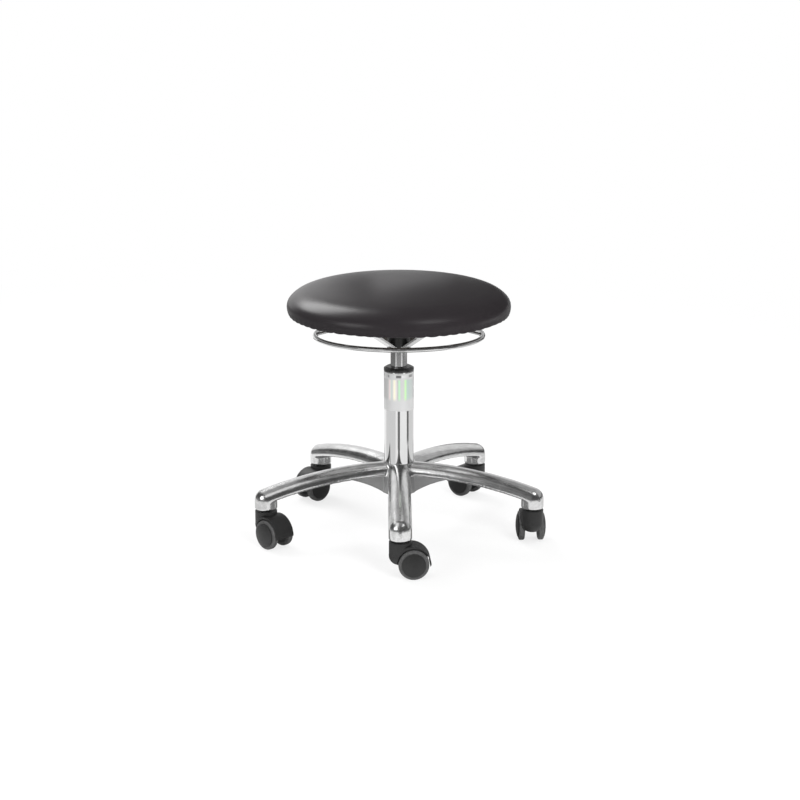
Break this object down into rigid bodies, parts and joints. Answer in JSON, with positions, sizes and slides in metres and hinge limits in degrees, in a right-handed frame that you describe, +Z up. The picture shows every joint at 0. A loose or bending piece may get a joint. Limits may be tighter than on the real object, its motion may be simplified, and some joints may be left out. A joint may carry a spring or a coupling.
{
  "type": "stool",
  "caption": "Round padded swivel stool with gas-spring height adjustment, ring release lever and a cast star base on twin-wheel castors.",
  "frame": {"origin": "on the column's axis at floor level", "axes": "+Z up along the column, -Y along the front arm of the base"},
  "size_m": [0.4911, 0.497, 0.4351],
  "materials": {
    "base_metal": "polished casting, light mottling",
    "steel_fastener": "zinc plated",
    "castor_plastic": "moulded nylon, satin",
    "tread_rubber": "soft tread, matt",
    "chrome_tube": "bright chrome plate",
    "bush_plastic": "moulded, satin",
    "label_foil": "thin iridescent foil",
    "steel_ground": "ground",
    "buffer_rubber": "matt",
    "cylinder_steel": "ground grey steel",
    "black_steel": "black powder coat",
    "chrome_wire": "chrome-plated wire",
    "plated_steel": "bright zinc plate",
    "board_wood": "black-stained plywood",
    "seat_foam": "moulded foam",
    "seat_leather": "charcoal leatherette, fine grain"
  },
  "bodies": {
    "base": {"base_star": "base_metal", "column_tube": "chrome_tube", "guide_bushing": "bush_plastic", "column_label": "label_foil", "castor_stems": "steel_fastener", "stem_grip_rings": "steel_fastener", "thrust_race_lower": "steel_ground"},
    "rod": {"piston_rod": "steel_ground", "retaining_clip": "steel_fastener", "thrust_race_upper": "steel_ground", "thrust_balls": "steel_ground", "thrust_cage": "bush_plastic", "rubber_buffer": "buffer_rubber"},
    "seat": {"gas_cylinder": "cylinder_steel", "cylinder_gland": "bush_plastic", "taper_socket": "black_steel", "lever_bracket": "black_steel", "lever_pivot_pin": "steel_fastener", "support_arms": "plated_steel", "seat_board": "board_wood", "mounting_bolts": "steel_fastener", "tee_nuts": "steel_fastener", "seat_foam": "seat_foam", "seat_cover": "seat_leather", "cover_staples": "steel_fastener"},
    "ring_lever": {"lever_ring": "chrome_wire", "lever_plate": "plated_steel", "lever_spokes": "chrome_wire"},
    "valve_pin": {"release_pin": "steel_ground"},
    "front_castor": {"front_castor_housing": "castor_plastic", "front_castor_axle": "steel_fastener"},
    "front_wheel_a": {"front_castor_wheel_a": "castor_plastic", "front_castor_tread_a": "tread_rubber"},
    "front_wheel_b": {"front_castor_wheel_b": "castor_plastic", "front_castor_tread_b": "tread_rubber"},
    "right_front_castor": {"right_front_castor_housing": "castor_plastic", "right_front_castor_axle": "steel_fastener"},
    "right_front_wheel_a": {"right_front_castor_wheel_a": "castor_plastic", "right_front_castor_tread_a": "tread_rubber"},
    "right_front_wheel_b": {"right_front_castor_wheel_b": "castor_plastic", "right_front_castor_tread_b": "tread_rubber"},
    "right_rear_castor": {"right_rear_castor_housing": "castor_plastic", "right_rear_castor_axle": "steel_fastener"},
    "right_rear_wheel_a": {"right_rear_castor_wheel_a": "castor_plastic", "right_rear_castor_tread_a": "tread_rubber"},
    "right_rear_wheel_b": {"right_rear_castor_wheel_b": "castor_plastic", "right_rear_castor_tread_b": "tread_rubber"},
    "left_rear_castor": {"left_rear_castor_housing": "castor_plastic", "left_rear_castor_axle": "steel_fastener"},
    "left_rear_wheel_a": {"left_rear_castor_wheel_a": "castor_plastic", "left_rear_castor_tread_a": "tread_rubber"},
    "left_rear_wheel_b": {"left_rear_castor_wheel_b": "castor_plastic", "left_rear_castor_tread_b": "tread_rubber"},
    "left_front_castor": {"left_front_castor_housing": "castor_plastic", "left_front_castor_axle": "steel_fastener"},
    "left_front_wheel_a": {"left_front_castor_wheel_a": "castor_plastic", "left_front_castor_tread_a": "tread_rubber"},
    "left_front_wheel_b": {"left_front_castor_wheel_b": "castor_plastic", "left_front_castor_tread_b": "tread_rubber"}
  },
  "joints": [
    {"name": "seat_turn", "type": "hinge", "parent": "base", "child": "rod", "pos_m": [0, 0, 0], "axis": [0, 0, 1], "continuous": true},
    {"name": "seat_lift", "type": "slide", "parent": "rod", "child": "seat", "axis": [0, 0, 1], "range_m": [0, 0.12]},
    {"name": "lever_tilt", "type": "hinge", "parent": "seat", "child": "ring_lever", "pos_m": [0, -0.025, 0.3807], "axis": [-1, 0, 0], "range_deg": [0, 5], "stiffness_Nm_per_rad": 12, "springref_deg": -2.86},
    {"name": "valve_press", "type": "slide", "parent": "seat", "child": "valve_pin", "axis": [0, 0, -1], "range_m": [0, 0.0025]},
    {"name": "front_castor_swivel", "type": "hinge", "parent": "base", "child": "front_castor", "pos_m": [0.00247, -0.23534, 0], "axis": [0, 0, 1], "continuous": true},
    {"name": "front_wheel_a_roll", "type": "hinge", "parent": "front_castor", "child": "front_wheel_a", "pos_m": [0.02318, -0.23407, 0.025], "axis": [-0.061, 0.9981, 0], "continuous": true},
    {"name": "front_wheel_b_roll", "type": "hinge", "parent": "front_castor", "child": "front_wheel_b", "pos_m": [0.02318, -0.23407, 0.025], "axis": [-0.061, 0.9981, 0], "continuous": true},
    {"name": "right_front_castor_swivel", "type": "hinge", "parent": "base", "child": "right_front_castor", "pos_m": [0.22458, -0.07038, 0], "axis": [0, 0, 1], "continuous": true},
    {"name": "right_front_wheel_a_roll", "type": "hinge", "parent": "right_front_castor", "child": "right_front_wheel_a", "pos_m": [0.22349, -0.04966, 0.025], "axis": [-0.9986, -0.0523, 0], "continuous": true},
    {"name": "right_front_wheel_b_roll", "type": "hinge", "parent": "right_front_castor", "child": "right_front_wheel_b", "pos_m": [0.22349, -0.04966, 0.025], "axis": [-0.9986, -0.0523, 0], "continuous": true},
    {"name": "right_rear_castor_swivel", "type": "hinge", "parent": "base", "child": "right_rear_castor", "pos_m": [0.13633, 0.19184, 0], "axis": [0, 0, 1], "continuous": true},
    {"name": "right_rear_wheel_a_roll", "type": "hinge", "parent": "right_rear_castor", "child": "right_rear_wheel_a", "pos_m": [0.12044, 0.20518, 0.025], "axis": [-0.6428, -0.766, 0], "continuous": true},
    {"name": "right_rear_wheel_b_roll", "type": "hinge", "parent": "right_rear_castor", "child": "right_rear_wheel_b", "pos_m": [0.12044, 0.20518, 0.025], "axis": [-0.6428, -0.766, 0], "continuous": true},
    {"name": "left_rear_castor_swivel", "type": "hinge", "parent": "base", "child": "left_rear_castor", "pos_m": [-0.14032, 0.18894, 0], "axis": [0, 0, 1], "continuous": true},
    {"name": "left_rear_wheel_a_roll", "type": "hinge", "parent": "left_rear_castor", "child": "left_rear_wheel_a", "pos_m": [-0.15499, 0.17427, 0.025], "axis": [0.7071, -0.7071, 0], "continuous": true},
    {"name": "left_rear_wheel_b_roll", "type": "hinge", "parent": "left_rear_castor", "child": "left_rear_wheel_b", "pos_m": [-0.15499, 0.17427, 0.025], "axis": [0.7071, -0.7071, 0], "continuous": true},
    {"name": "left_front_castor_swivel", "type": "hinge", "parent": "base", "child": "left_front_castor", "pos_m": [-0.22306, -0.07507, 0], "axis": [0, 0, 1], "continuous": true},
    {"name": "left_front_wheel_a_roll", "type": "hinge", "parent": "left_front_castor", "child": "left_front_wheel_a", "pos_m": [-0.20891, -0.09024, 0.025], "axis": [0.7314, 0.682, 0], "continuous": true},
    {"name": "left_front_wheel_b_roll", "type": "hinge", "parent": "left_front_castor", "child": "left_front_wheel_b", "pos_m": [-0.20891, -0.09024, 0.025], "axis": [0.7314, 0.682, 0], "continuous": true}
  ],
  "couplings": [
    {"joint": "valve_press", "follows": "lever_tilt", "m_per_rad": 0.025}
  ]
}
